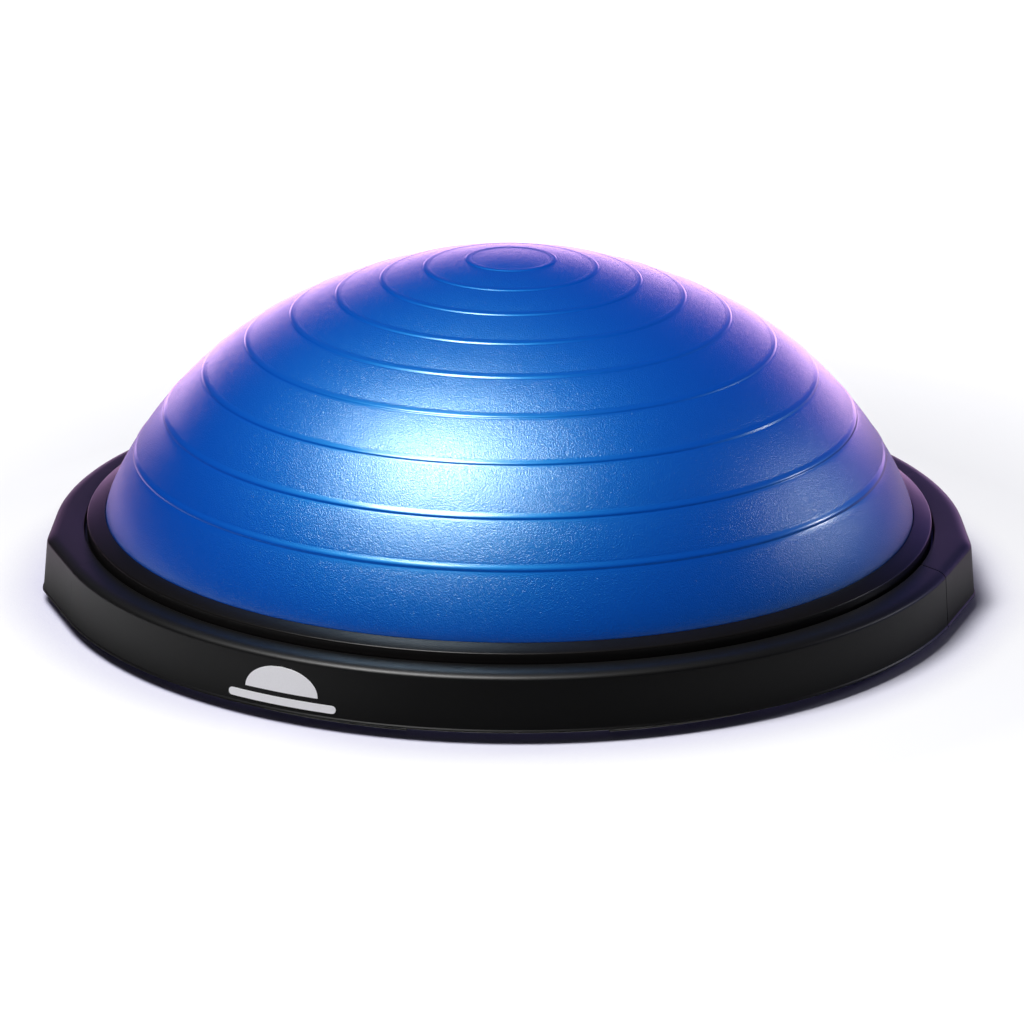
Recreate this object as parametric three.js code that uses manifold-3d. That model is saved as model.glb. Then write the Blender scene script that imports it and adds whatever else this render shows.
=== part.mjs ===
// Balance dome trainer: an inflated half dome clamped by a ring to a flat round platform.
// Millimetres, +Z up. The origin is on the floor, under the centre of the platform.
// The ends with the carrying handles face +X and -X, the marked front faces -Y.
import * as THREE from 'three';
import { mergeVertices } from 'three/addons/utils/BufferGeometryUtils.js';
import Module from 'manifold-3d';

const wasm = await Module();
wasm.setup();

const GAP = 0.3;              // clearance where two pieces rest on each other
const WALL = 4;               // moulded plastic
const DEGREE = Math.PI / 180;
const SIDES = 48;             // facets round the dome and the ring

// Platform seen from above: a circle with, in front of each handle, a corner and a sloping shoulder.
const PLATFORM_RADIUS = 320;
const CORNER_X = 322;
const CORNER_Y = 50;
const SHOULDER_END_ANGLE = 21.4 * DEGREE;
const CORNER_SOFTNESS = 1;

// Heights above the floor.
const WALL_BOTTOM = 8;
const WALL_TOP = 41;          // where the wall turns over into the deck
const WALL_LEAN = 3;          // how far the wall leans inwards over its height
const DECK_TOP = 46;
const SHELF_TOP = 40.6;
const SHELF_BOTTOM = SHELF_TOP - WALL;
const DOME_FOOT = 43.5;
const DOME_START = 55.3;      // where the dome leaves the clamp ring
const DOME_RISE = 179.1;

// Dome and its raised ribs.
const DOME_RADIUS = 280;
const DOME_SKIN = 3;
const DOME_POWER = 1 / 1.3;
const SHOULDER_SAG = 0.036;
const RIB_RADII = [30.2, 59.1, 88.8, 119.3, 150.6, 181.7, 211.4, 238.6, 259.6];
const RIB_WIDTH = 4;
const RIB_HEIGHT = 1.2;

// Clamping of the dome's flange.
const FLANGE_RADIUS = 286;
const FLANGE_THICKNESS = 3.5;
const RING_RADIUS = 293;
const GROOVE_RADIUS = 294.8;
const CLAMP_SCREW_RADIUS = 289.8;
const CLAMP_SCREW_COUNT = 12;
const CLAMP_SCREW_START = 15;
const CLAMP_SCREW_TIP = 49.8;
const CLAMP_HOLE_RADIUS = 1.9;
const RING_OUTER_TOP = 50.6;

// Removable end caps, parted from the deck by two splayed seams.
const SEAM_INNER = new THREE.Vector2(279.7, 96);
const SEAM_OUTER = new THREE.Vector2(297.5, 117);
const CAP_SCREW_RADIUS = 297;
const CAP_SCREW_ANGLE = 16.5;
const CAP_SCREW_TIP = 24;
const SEAM_HALF_GAP = 0.15;
const SEAM_REACH = 70;

// Underside.
const PLATE_BOTTOM = 5;
const PLATE_TOP = 9;
const PLATE_INSET = 11;
const BASE_SCREW_RADIUS = 262;
const BASE_SCREW_COUNT = 8;
const BASE_SCREW_START = 22.5;
const BASE_SCREW_TIP = 26;
const BOSS_RADIUS = 6;
const CAP_BOSS_RADIUS = 5;
const BOSS_HOLE_RADIUS = 2;
const BOSS_HOLE_TOP = 28;
const CAP_HOLE_TOP = 26;
const RIB_PLATE = 3;
const SPOKE_BOTTOM = 14;
const HOOP_RADIUS = 150;
const HOOP_BOTTOM = 20;
const HEAD_RADIUS = 4.3;
const HEAD_SEAT = 7.2;
const WELL_RADIUS = 30;
const WELL_WALL = 3;
const PAD_ANGLES = [35, 68, 112, 145, 215, 248, 292, 325];
const PAD_HALF_ANGLE = 9.5;
const PAD_INNER = 284;
const PAD_OUTER = 303;
const PAD_SINK = 1;

// Handle pockets in the underside.
const POCKET_NEAR = 262;
const POCKET_FAR = 297;
const POCKET_HALF_WIDTH = 55;
const POCKET_WALL = 3;
const GRIP_THICKNESS = 6;
const GRIP_HALF_WIDTH = 48;
const GRIP_BOTTOM = 7;
const GRIP_TOP = 30;
const FINGER_DEPTH = 3.6;
const FINGER_PITCH = 24;
const FINGER_RADIUS = 16;

// Air valve at the centre.
const VALVE_HOLE = 9.3;
const VALVE_BORE = 5.3;
const SEAT_BOTTOM = 22;
const SEAT_FLANGE_RADIUS = 18;
const SEAT_FLANGE_HEIGHT = 2.5;
const SEAT_NECK_RADIUS = 9;
const NUT_RADIUS = 19;
const NUT_BOTTOM = 31;
const PLUG_BOTTOM = 16;
const PLUG_TOP = 42;
const PLUG_RADIUS = 10;
const PLUG_STEM_RADIUS = 5;

// Plain mark on the front wall: a dome over a bar.
const MARK_ANGLE = 242.5;
const MARK_THICKNESS = 0.5;
const MARK_DOME_HALF_WIDTH = 27;
const MARK_DOME_FOOT = 21;
const MARK_DOME_HEIGHT = 17;
const MARK_BAR_HALF_WIDTH = 40;
const MARK_BAR_HEIGHT = 15;
const MARK_BAR_RADIUS = 2.6;
const MARK_SINK = 0.1;         // clearance between the mark and the wall

// ---------------------------------------------------------------- solids

function signedVolume(positions, triangles) {
  const a = new THREE.Vector3();
  const b = new THREE.Vector3();
  const c = new THREE.Vector3();
  let sum = 0;
  for (let i = 0; i < triangles.length; i += 3) {
    a.fromArray(positions, triangles[i] * 3);
    b.fromArray(positions, triangles[i + 1] * 3);
    c.fromArray(positions, triangles[i + 2] * 3);
    sum += a.dot(b.cross(c));
  }
  return sum / 6;
}

function withoutSlivers(indices) {
  const kept = [];
  for (let i = 0; i < indices.length; i += 3) {
    const [a, b, c] = indices.slice(i, i + 3);
    if (a !== b && b !== c && c !== a) kept.push(a, b, c);
  }
  return kept;
}

// A closed solid from a surface, turned so that its faces look outwards.
function solid(geometry) {
  const bare = new THREE.BufferGeometry();
  bare.setAttribute('position', geometry.getAttribute('position'));
  bare.setIndex(geometry.index);
  const merged = mergeVertices(bare, 1e-4);
  const positions = merged.getAttribute('position').array;
  const triangles = withoutSlivers(Array.from(merged.index.array));
  if (signedVolume(positions, triangles) < 0) triangles.reverse();
  return new wasm.Manifold(new wasm.Mesh({
    numProp: 3,
    vertProperties: Float32Array.from(positions),
    triVerts: Uint32Array.from(triangles),
  }));
}

function piece(name, shape, material) {
  const mesh = shape.getMesh();
  const geometry = new THREE.BufferGeometry();
  geometry.setAttribute('position', new THREE.Float32BufferAttribute(mesh.vertProperties, 3));
  geometry.setIndex(Array.from(mesh.triVerts));
  geometry.computeVertexNormals();
  const result = new THREE.Mesh(geometry, material);
  result.name = name;
  return result;
}

// Turned solid: the profile is a list of [radius, height], on the axis at both ends or closed.
function turned(profile, sides = SIDES) {
  const points = profile.map(([radius, height]) => new THREE.Vector2(radius, height));
  if (points[0].x > 0) points.push(points[0].clone());
  return solid(new THREE.LatheGeometry(points, sides).rotateX(Math.PI / 2));
}

function cylinder(radius, bottom, top, sides = 16) {
  const geometry = new THREE.CylinderGeometry(radius, radius, top - bottom, sides);
  return solid(geometry.rotateX(Math.PI / 2)).translate([0, 0, (top + bottom) / 2]);
}

function box(low, high) {
  const size = low.map((value, axis) => high[axis] - value);
  const centre = low.map((value, axis) => (high[axis] + value) / 2);
  return solid(new THREE.BoxGeometry(...size)).translate(centre);
}

function extruded(shape, bottom, top, curveSegments = 12) {
  const options = { depth: top - bottom, bevelEnabled: false, curveSegments };
  return solid(new THREE.ExtrudeGeometry(shape, options)).translate([0, 0, bottom]);
}

// Moves a solid out along X, then turns it round the Z axis.
function around(shape, radius, degrees) {
  return shape.translate([radius, 0, 0]).rotate([0, 0, degrees]);
}

function copies(shape, radius, angles) {
  return angles.map((degrees) => around(shape, radius, degrees));
}

function evenAngles(count, start) {
  return Array.from({ length: count }, (_, i) => start + (360 / count) * i);
}

const CLAMP_SCREW_ANGLES = evenAngles(CLAMP_SCREW_COUNT, CLAMP_SCREW_START);
const BASE_SCREW_ANGLES = evenAngles(BASE_SCREW_COUNT, BASE_SCREW_START);
const CAP_SCREW_ANGLES = [CAP_SCREW_ANGLE, 180 - CAP_SCREW_ANGLE, 180 + CAP_SCREW_ANGLE, -CAP_SCREW_ANGLE];

function cutAll(shape, cutters) {
  return cutters.reduce((left, cutter) => left.subtract(cutter), shape);
}

function joinAll(shape, others) {
  return others.reduce((whole, other) => whole.add(other), shape);
}

// ---------------------------------------------------------------- platform outline

const SHOULDER_DROP = CORNER_X - PLATFORM_RADIUS * Math.cos(SHOULDER_END_ANGLE);
const SHOULDER_WIDTH = PLATFORM_RADIUS * Math.sin(SHOULDER_END_ANGLE) - CORNER_Y;
const SHOULDER_TURN = Math.atan2(SHOULDER_DROP, SHOULDER_WIDTH);
const SHOULDER_DISTANCE = CORNER_X * Math.cos(SHOULDER_TURN) + CORNER_Y * Math.sin(SHOULDER_TURN);
const CORNER_ANGLE = Math.atan2(CORNER_Y, CORNER_X);
const END_TURN = Math.acos(PLATFORM_RADIUS / Math.hypot(CORNER_X, CORNER_Y)) - CORNER_ANGLE;

function softMinimum(a, b, softness) {
  const least = Math.min(a, b);
  const spread = Math.abs(a - b) / softness;
  return least - softness * Math.log1p(Math.exp(-spread));
}

// Distance from the centre to the platform's bottom edge at an angle from +X. The end runs straight
// from the circle to the corner, and the shoulder straight from there back to the circle.
function outline(angle) {
  const towardsFront = Math.atan2(-Math.sin(angle), Math.abs(Math.cos(angle)));
  if (towardsFront > SHOULDER_END_ANGLE || towardsFront < -END_TURN) return PLATFORM_RADIUS;
  const end = PLATFORM_RADIUS / Math.cos(towardsFront + END_TURN);
  const shoulder = SHOULDER_DISTANCE / Math.cos(towardsFront - SHOULDER_TURN);
  return softMinimum(end, shoulder, CORNER_SOFTNESS);
}

// Steps round the platform, closer together at the corners.
function platformAngles() {
  const end = [0, 4, 6, 7.5, 8, 8.5, 9, 9.5, 10, 12, 17];
  const arcSteps = 13;
  const arcStart = SHOULDER_END_ANGLE / DEGREE;
  const arc = Array.from({ length: arcSteps }, (_, i) => arcStart + ((90 - arcStart) / arcSteps) * i);
  const quarter = [...end, ...arc];
  const half = [...quarter, 90, ...quarter.slice(1).reverse().map((degrees) => 180 - degrees)];
  const full = [...half, ...half.map((degrees) => degrees + 180)];
  return full.map((degrees) => degrees * DEGREE);
}

const edge = (inset, height) => ({ inset, height });
const round = (radius, height) => ({ radius, height });

// A ring whose profile points follow the platform's outline (edge) or a true circle (round).
function platformRing(profile) {
  const angles = platformAngles();
  const rows = profile.length;
  const positions = [];
  for (const angle of angles) {
    for (const point of profile) {
      const radius = point.radius ?? outline(angle) - point.inset;
      positions.push(radius * Math.cos(angle), radius * Math.sin(angle), point.height);
    }
  }
  const indices = [];
  for (let step = 0; step < angles.length; step++) {
    const here = step * rows;
    const next = ((step + 1) % angles.length) * rows;
    for (let low = 0; low < rows; low++) {
      const high = (low + 1) % rows;
      indices.push(here + low, next + low, next + high, here + low, next + high, here + high);
    }
  }
  const geometry = new THREE.BufferGeometry();
  geometry.setAttribute('position', new THREE.Float32BufferAttribute(positions, 3));
  geometry.setIndex(indices);
  return solid(geometry);
}

// ---------------------------------------------------------------- dome and clamping

// Height of the dome's skin above its start, as a share of its rise, at a share of its radius.
function domeShare(share) {
  const crown = Math.max(0, 1 - share * share) ** DOME_POWER;
  return crown - SHOULDER_SAG * share * Math.sin(2 * Math.PI * share);
}

function skinPoint(radius) {
  return [radius, DOME_START + DOME_RISE * domeShare(radius / DOME_RADIUS)];
}

// A rib's flat-topped ridge, standing square to the skin as it steepens.
function ribPoints(radius) {
  const steps = [[-1, 0], [-0.4, 1], [0.4, 1], [1, 0]];
  const tilt = radius / DOME_RADIUS;
  const half = (RIB_WIDTH / 2) * (1 - 0.5 * tilt);
  return steps.map(([side, rise]) => {
    const [foot, height] = skinPoint(radius + side * half);
    const out = rise * RIB_HEIGHT;
    return [foot + out * tilt * 0.8, height + out * (1 - 0.45 * tilt)];
  });
}

function domeOutside() {
  const points = [skinPoint(0)];
  let previous = 0;
  for (const radius of RIB_RADII) {
    points.push(skinPoint((previous + radius) / 2), ...ribPoints(radius));
    previous = radius;
  }
  return [...points, skinPoint(DOME_RADIUS * 0.963), skinPoint(DOME_RADIUS * 0.988)];
}

function domeInside() {
  const inner = DOME_RADIUS - DOME_SKIN;
  const shares = [1, 0.97, 0.92, 0.85, 0.75, 0.63, 0.5, 0.34, 0.17, 0];
  return shares.map((share) => [inner * share, DOME_START + (DOME_RISE - DOME_SKIN) * domeShare(share)]);
}

function domeBladder() {
  const flangeTop = DOME_FOOT + FLANGE_THICKNESS;
  return turned([
    ...domeOutside(),
    [DOME_RADIUS, DOME_START],
    [DOME_RADIUS, flangeTop],
    [FLANGE_RADIUS, flangeTop],
    [FLANGE_RADIUS, DOME_FOOT],
    [DOME_RADIUS - DOME_SKIN, DOME_FOOT],
    ...domeInside(),
  ]);
}

function bladderFloor() {
  const bottom = SHELF_TOP + GAP;
  const top = DOME_FOOT - GAP;
  return turned([[VALVE_HOLE, bottom], [FLANGE_RADIUS, bottom], [FLANGE_RADIUS, top], [VALVE_HOLE, top]]);
}

function clampRing() {
  const foot = SHELF_TOP + GAP;
  const step = DOME_FOOT + FLANGE_THICKNESS + GAP;
  const inner = DOME_RADIUS + GAP;
  const ring = turned([
    [FLANGE_RADIUS + GAP, foot],
    [RING_RADIUS, foot],
    [RING_RADIUS, RING_OUTER_TOP],
    [RING_RADIUS - 0.7, RING_OUTER_TOP + 1.1],
    [RING_RADIUS - 2.2, RING_OUTER_TOP + 1.8],
    [inner + 1.1, DOME_START],
    [inner + 0.3, DOME_START - 0.2],
    [inner, DOME_START - 0.9],
    [inner, step],
    [FLANGE_RADIUS + GAP, step],
  ]);
  const hole = cylinder(CLAMP_HOLE_RADIUS, foot - 1, CLAMP_SCREW_TIP + 0.5, 10);
  return cutAll(ring, copies(hole, CLAMP_SCREW_RADIUS, CLAMP_SCREW_ANGLES));
}

// ---------------------------------------------------------------- platform mouldings

// Outer wall and fillet of the upper moulding, from its bottom edge to the flat deck.
const OUTER_WALL = [
  edge(0.8, WALL_BOTTOM),
  edge(0, WALL_BOTTOM + 1),
  edge(WALL_LEAN, WALL_TOP),
  edge(3.5, 43.1),
  edge(4.7, 44.9),
  edge(6.3, 45.8),
  edge(8, DECK_TOP),
];

function upperMoulding() {
  const grooveBack = GROOVE_RADIUS + WALL;
  const underDeck = DECK_TOP - WALL;
  return platformRing([
    ...OUTER_WALL,
    round(GROOVE_RADIUS + 1.2, DECK_TOP),
    round(GROOVE_RADIUS + 0.3, DECK_TOP - 0.4),
    round(GROOVE_RADIUS, DECK_TOP - 1.3),
    round(GROOVE_RADIUS, SHELF_TOP),
    round(VALVE_HOLE, SHELF_TOP),
    round(VALVE_HOLE, SHELF_BOTTOM),
    round(grooveBack, SHELF_BOTTOM),
    round(grooveBack, underDeck),
    edge(7, underDeck),
    edge(WALL, WALL_BOTTOM),
  ]);
}

// Everything outside the groove between the two seams of one end, as a cutting block.
function endBlock(shift, bottom, top) {
  const run = SEAM_OUTER.clone().sub(SEAM_INNER).normalize();
  const side = new THREE.Vector2(run.y, -run.x).multiplyScalar(shift);
  const near = SEAM_INNER.clone().addScaledVector(run, -10).sub(side);
  const far = SEAM_INNER.clone().addScaledVector(run, SEAM_REACH).sub(side);
  const shape = new THREE.Shape([
    near,
    far,
    new THREE.Vector2(far.x, -far.y),
    new THREE.Vector2(near.x, -near.y),
  ]);
  const groove = cylinder(GROOVE_RADIUS - SEAM_HALF_GAP - shift, bottom - 1, top + 1, 120);
  return extruded(shape, bottom, top).subtract(groove);
}

function stiffeningRibs() {
  const top = SHELF_BOTTOM + 1;
  const nearEnd = WELL_RADIUS + WELL_WALL + 5;
  const spoke = box([nearEnd, -RIB_PLATE / 2, SPOKE_BOTTOM], [BASE_SCREW_RADIUS - 2, RIB_PLATE / 2, top]);
  const hoop = cylinder(HOOP_RADIUS, HOOP_BOTTOM, top, SIDES);
  const inside = cylinder(HOOP_RADIUS - RIB_PLATE, HOOP_BOTTOM - 1, top + 1, SIDES);
  return [...copies(spoke, 0, BASE_SCREW_ANGLES), hoop.subtract(inside)];
}

function platformDeck(shell) {
  const end = endBlock(SEAM_HALF_GAP, 0, DECK_TOP + 1);
  const boss = cylinder(BOSS_RADIUS, PLATE_TOP + GAP, SHELF_BOTTOM + 1);
  const bossHole = cylinder(BOSS_HOLE_RADIUS, PLATE_TOP - 1, BOSS_HOLE_TOP, 10);
  const clampHole = cylinder(CLAMP_HOLE_RADIUS, SHELF_BOTTOM - 1, SHELF_TOP + 1, 10);
  const open = cutAll(shell, [end, end.rotate([0, 0, 180])]);
  const ribbed = joinAll(open, [...stiffeningRibs(), ...copies(boss, BASE_SCREW_RADIUS, BASE_SCREW_ANGLES)]);
  return cutAll(ribbed, [
    cylinder(VALVE_HOLE, 0, DECK_TOP, SIDES),
    ...copies(bossHole, BASE_SCREW_RADIUS, BASE_SCREW_ANGLES),
    ...copies(clampHole, CLAMP_SCREW_RADIUS, CLAMP_SCREW_ANGLES),
  ]);
}

function endCap(shell) {
  const underDeck = DECK_TOP - WALL;
  const boss = cylinder(CAP_BOSS_RADIUS, PLATE_TOP + GAP, SHELF_BOTTOM - GAP);
  const web = box([2, -RIB_PLATE / 2, 12], [18, RIB_PLATE / 2, underDeck + 1]);
  const post = around(boss.add(web), CAP_SCREW_RADIUS, CAP_SCREW_ANGLE);
  const bore = cylinder(BOSS_HOLE_RADIUS, PLATE_TOP - 1, CAP_HOLE_TOP, 10);
  const hole = around(bore, CAP_SCREW_RADIUS, CAP_SCREW_ANGLE);
  const cap = shell.intersect(endBlock(-SEAM_HALF_GAP, 0, DECK_TOP + 1));
  const bothPosts = [post, post.mirror([0, 1, 0])];
  return cutAll(joinAll(cap, bothPosts), [hole, hole.mirror([0, 1, 0])]);
}

function pocketBox(grow, bottom, top) {
  return box(
    [POCKET_NEAR - grow, -POCKET_HALF_WIDTH - grow, bottom],
    [POCKET_FAR + grow, POCKET_HALF_WIDTH + grow, top],
  );
}

function pad(grow, bottom, top) {
  const halfAngle = PAD_HALF_ANGLE * DEGREE + grow / PAD_OUTER;
  const shape = new THREE.Shape();
  shape.absarc(0, 0, PAD_OUTER + grow, -halfAngle, halfAngle, false);
  shape.absarc(0, 0, PAD_INNER - grow, halfAngle, -halfAngle, true);
  return extruded(shape, bottom, top, 8);
}

// Counterbored hole through the base plate.
function screwHole() {
  const shank = cylinder(BOSS_HOLE_RADIUS, PLATE_BOTTOM - 1, PLATE_TOP + 1, 10);
  return shank.add(cylinder(HEAD_RADIUS, PLATE_BOTTOM - 1, HEAD_SEAT, 12));
}

function platformBase() {
  const wellTop = SHELF_BOTTOM - GAP;
  const plate = platformRing([
    edge(PLATE_INSET + 0.8, PLATE_BOTTOM),
    edge(PLATE_INSET, PLATE_BOTTOM + 0.8),
    edge(PLATE_INSET, PLATE_TOP),
    round(WELL_RADIUS + WELL_WALL, PLATE_TOP),
    round(WELL_RADIUS + WELL_WALL, wellTop),
    round(WELL_RADIUS, wellTop),
    round(WELL_RADIUS, PLATE_BOTTOM),
  ]);
  const pockets = [pocketBox(POCKET_WALL, PLATE_TOP - 1, wellTop), pocketBox(0, 0, wellTop - POCKET_WALL)];
  const [outsides, insides] = pockets.map((shape) => [shape, shape.rotate([0, 0, 180])]);
  const recess = pad(GAP, PLATE_BOTTOM - 1, PLATE_BOTTOM + PAD_SINK);
  return cutAll(joinAll(plate, outsides), [
    ...insides,
    ...copies(recess, 0, PAD_ANGLES),
    ...copies(screwHole(), BASE_SCREW_RADIUS, BASE_SCREW_ANGLES),
    ...copies(screwHole(), CAP_SCREW_RADIUS, CAP_SCREW_ANGLES),
  ]);
}

function handleGrip() {
  const face = POCKET_FAR - GAP;
  const bar = box([face - GRIP_THICKNESS, -GRIP_HALF_WIDTH, GRIP_BOTTOM], [face, GRIP_HALF_WIDTH, GRIP_TOP]);
  const finger = cylinder(FINGER_RADIUS, GRIP_BOTTOM - 1, GRIP_TOP + 1, 32);
  const fingerX = face - GRIP_THICKNESS + FINGER_DEPTH - FINGER_RADIUS;
  const places = [-1.5, -0.5, 0.5, 1.5].map((step) => [fingerX, step * FINGER_PITCH, 0]);
  return cutAll(bar, places.map((place) => finger.translate(place)));
}

// ---------------------------------------------------------------- valve

function valveSeat() {
  return turned([
    [VALVE_BORE, SEAT_BOTTOM],
    [SEAT_NECK_RADIUS - 0.8, SEAT_BOTTOM],
    [SEAT_NECK_RADIUS, SEAT_BOTTOM + 0.8],
    [SEAT_NECK_RADIUS, DOME_FOOT],
    [SEAT_FLANGE_RADIUS, DOME_FOOT],
    [SEAT_FLANGE_RADIUS, DOME_FOOT + 1.6],
    [SEAT_FLANGE_RADIUS - 1.5, DOME_FOOT + SEAT_FLANGE_HEIGHT],
    [VALVE_BORE, DOME_FOOT + SEAT_FLANGE_HEIGHT],
  ], 32);
}

function valveNut() {
  const nut = cylinder(NUT_RADIUS, NUT_BOTTOM, SHELF_BOTTOM - GAP, 6);
  return nut.subtract(cylinder(VALVE_HOLE, NUT_BOTTOM - 1, SHELF_BOTTOM + 1, 32));
}

function valvePlug() {
  const headTop = SEAT_BOTTOM - GAP;
  return turned([
    [0, PLUG_BOTTOM],
    [PLUG_RADIUS - 0.8, PLUG_BOTTOM],
    [PLUG_RADIUS, PLUG_BOTTOM + 0.8],
    [PLUG_RADIUS, PLUG_BOTTOM + 2.4],
    [PLUG_RADIUS - 1, PLUG_BOTTOM + 3],
    [PLUG_RADIUS - 1, PLUG_BOTTOM + 4],
    [PLUG_RADIUS, PLUG_BOTTOM + 4.6],
    [PLUG_RADIUS, headTop],
    [PLUG_STEM_RADIUS, headTop],
    [PLUG_STEM_RADIUS, PLUG_TOP - 4],
    [PLUG_STEM_RADIUS - 1, PLUG_TOP],
    [0, PLUG_TOP],
  ], 32);
}

// ---------------------------------------------------------------- fasteners, pads and mark

// A pan-head screw, head down, with a socket in its head.
function screw(headRadius, headBottom, headTop, shankRadius, tip) {
  const head = cylinder(headRadius, headBottom, headTop, 12);
  const shank = cylinder(shankRadius, headTop - 0.5, tip, 8);
  const socket = cylinder(headRadius * 0.45, headBottom - 1, headBottom + 0.9, 6);
  return head.add(shank).subtract(socket);
}

// A flat shape stood up on the front wall: its X runs round the wall, its Y is height.
function onWall(shape) {
  const block = extruded(shape, 0, 40, 14);
  const standing = block.rotate([90, 0, 0]).rotate([0, 0, 90]).translate([RING_RADIUS, 0, 0]);
  const skin = platformRing([
    edge(-MARK_SINK, WALL_BOTTOM + 1),
    edge(WALL_LEAN - MARK_SINK, WALL_TOP),
    edge(WALL_LEAN - MARK_SINK - MARK_THICKNESS, WALL_TOP),
    edge(-MARK_SINK - MARK_THICKNESS, WALL_BOTTOM + 1),
  ]);
  return standing.rotate([0, 0, MARK_ANGLE]).intersect(skin);
}

function markDome() {
  const shape = new THREE.Shape();
  shape.absellipse(0, MARK_DOME_FOOT, MARK_DOME_HALF_WIDTH, MARK_DOME_HEIGHT, 0, Math.PI, false);
  return onWall(shape);
}

function markBar() {
  const half = MARK_BAR_HALF_WIDTH - MARK_BAR_RADIUS;
  const quarter = Math.PI / 2;
  const shape = new THREE.Shape();
  shape.absarc(half, MARK_BAR_HEIGHT, MARK_BAR_RADIUS, -quarter, quarter, false);
  shape.absarc(-half, MARK_BAR_HEIGHT, MARK_BAR_RADIUS, quarter, 3 * quarter, false);
  return onWall(shape);
}

// ---------------------------------------------------------------- materials and assembly

function material(color, roughness, metalness = 0) {
  return new THREE.MeshStandardMaterial({ color, roughness, metalness });
}

const bluePvc = material(0x1568c8, 0.42);
const membrane = material(0x1b1d22, 0.6);
const ringPlastic = material(0x17181a, 0.4);
const platformPlastic = material(0x141416, 0.38);
const basePlastic = material(0x1a1a1c, 0.55);
const rubber = material(0x202022, 0.85);
const valveRubber = material(0x2a2a2c, 0.7);
const plugPlastic = material(0xe8e8e6, 0.45);
const steel = material(0x9a9da1, 0.3, 1);
const markPaint = material(0xdcdcdc, 0.5);

function numbered(name, shapes, look) {
  return shapes.map((shape, i) => piece(`${name}_${String(i + 1).padStart(2, '0')}`, shape, look));
}

function trainer() {
  const shell = upperMoulding();
  const cap = endCap(shell);
  const grip = handleGrip();
  const clampScrew = screw(3.3, SHELF_BOTTOM - 3, SHELF_BOTTOM - GAP, 1.6, CLAMP_SCREW_TIP);
  const baseScrew = screw(3.9, PLATE_BOTTOM + GAP, HEAD_SEAT - GAP, 1.7, BASE_SCREW_TIP);
  const capScrew = screw(3.9, PLATE_BOTTOM + GAP, HEAD_SEAT - GAP, 1.7, CAP_SCREW_TIP);
  const group = new THREE.Group();
  group.add(
    piece('dome_bladder', domeBladder(), bluePvc),
    piece('bladder_floor', bladderFloor(), membrane),
    piece('clamp_ring', clampRing(), ringPlastic),
    piece('platform_deck', platformDeck(shell), platformPlastic),
    piece('platform_base', platformBase(), basePlastic),
    piece('end_cap_right', cap, platformPlastic),
    piece('end_cap_left', cap.mirror([1, 0, 0]), platformPlastic),
    piece('handle_grip_right', grip, rubber),
    piece('handle_grip_left', grip.rotate([0, 0, 180]), rubber),
    piece('valve_seat', valveSeat(), valveRubber),
    piece('valve_nut', valveNut(), basePlastic),
    piece('valve_plug', valvePlug(), plugPlastic),
    ...numbered('clamp_screw', copies(clampScrew, CLAMP_SCREW_RADIUS, CLAMP_SCREW_ANGLES), steel),
    ...numbered('base_screw', copies(baseScrew, BASE_SCREW_RADIUS, BASE_SCREW_ANGLES), steel),
    ...numbered('cap_screw', copies(capScrew, CAP_SCREW_RADIUS, CAP_SCREW_ANGLES), steel),
    ...numbered('foot_pad', copies(pad(0, 0, PLATE_BOTTOM + PAD_SINK - GAP), 0, PAD_ANGLES), rubber),
    piece('mark_dome', markDome(), markPaint),
    piece('mark_bar', markBar(), markPaint),
  );
  return group;
}

export default trainer();
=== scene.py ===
"""Looks for the balance dome trainer: a ribbed blue air dome clamped to a black round platform."""
import math

import bmesh
import bpy
import numpy as np
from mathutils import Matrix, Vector


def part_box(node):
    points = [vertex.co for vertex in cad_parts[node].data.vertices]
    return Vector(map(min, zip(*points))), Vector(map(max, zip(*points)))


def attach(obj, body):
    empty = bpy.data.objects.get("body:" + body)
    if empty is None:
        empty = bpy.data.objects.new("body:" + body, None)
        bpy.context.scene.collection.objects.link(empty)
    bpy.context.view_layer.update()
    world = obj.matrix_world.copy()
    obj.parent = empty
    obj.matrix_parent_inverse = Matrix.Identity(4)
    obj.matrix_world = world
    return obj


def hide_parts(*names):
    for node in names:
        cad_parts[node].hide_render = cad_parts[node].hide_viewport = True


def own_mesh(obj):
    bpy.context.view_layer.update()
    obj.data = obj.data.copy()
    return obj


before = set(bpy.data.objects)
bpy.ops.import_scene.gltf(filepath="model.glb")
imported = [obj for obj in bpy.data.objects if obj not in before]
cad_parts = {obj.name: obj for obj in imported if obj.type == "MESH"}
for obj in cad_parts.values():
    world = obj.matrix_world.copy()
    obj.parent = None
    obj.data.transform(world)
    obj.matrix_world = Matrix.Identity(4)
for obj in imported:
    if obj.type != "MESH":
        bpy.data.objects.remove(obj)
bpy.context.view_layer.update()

MM = 0.001
TAU = 2 * math.pi

# ------------------------------------------------------------------ sizes, in metres, from the frame

DECK_LOW, DECK_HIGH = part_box("platform_deck")
DOME_LOW, DOME_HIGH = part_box("dome_bladder")
RING_LOW, RING_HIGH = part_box("clamp_ring")
PLATE_LOW, PLATE_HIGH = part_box("platform_base")
PAD_LOW, PAD_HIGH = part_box("foot_pad_01")
GRIP_LOW, GRIP_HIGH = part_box("handle_grip_right")
MEMBRANE_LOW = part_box("bladder_floor")[0]
PLUG_LOW, PLUG_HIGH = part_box("valve_plug")
SEAT_LOW, SEAT_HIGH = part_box("valve_seat")

PLATFORM_RADIUS = DECK_HIGH.y
DECK_TOP = DECK_HIGH.z
WALL_BOTTOM = DECK_LOW.z
DOME_TOP = DOME_HIGH.z
DOME_FOOT = DOME_LOW.z
FLANGE_RADIUS = DOME_HIGH.x
RING_RADIUS = RING_HIGH.x

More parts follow.
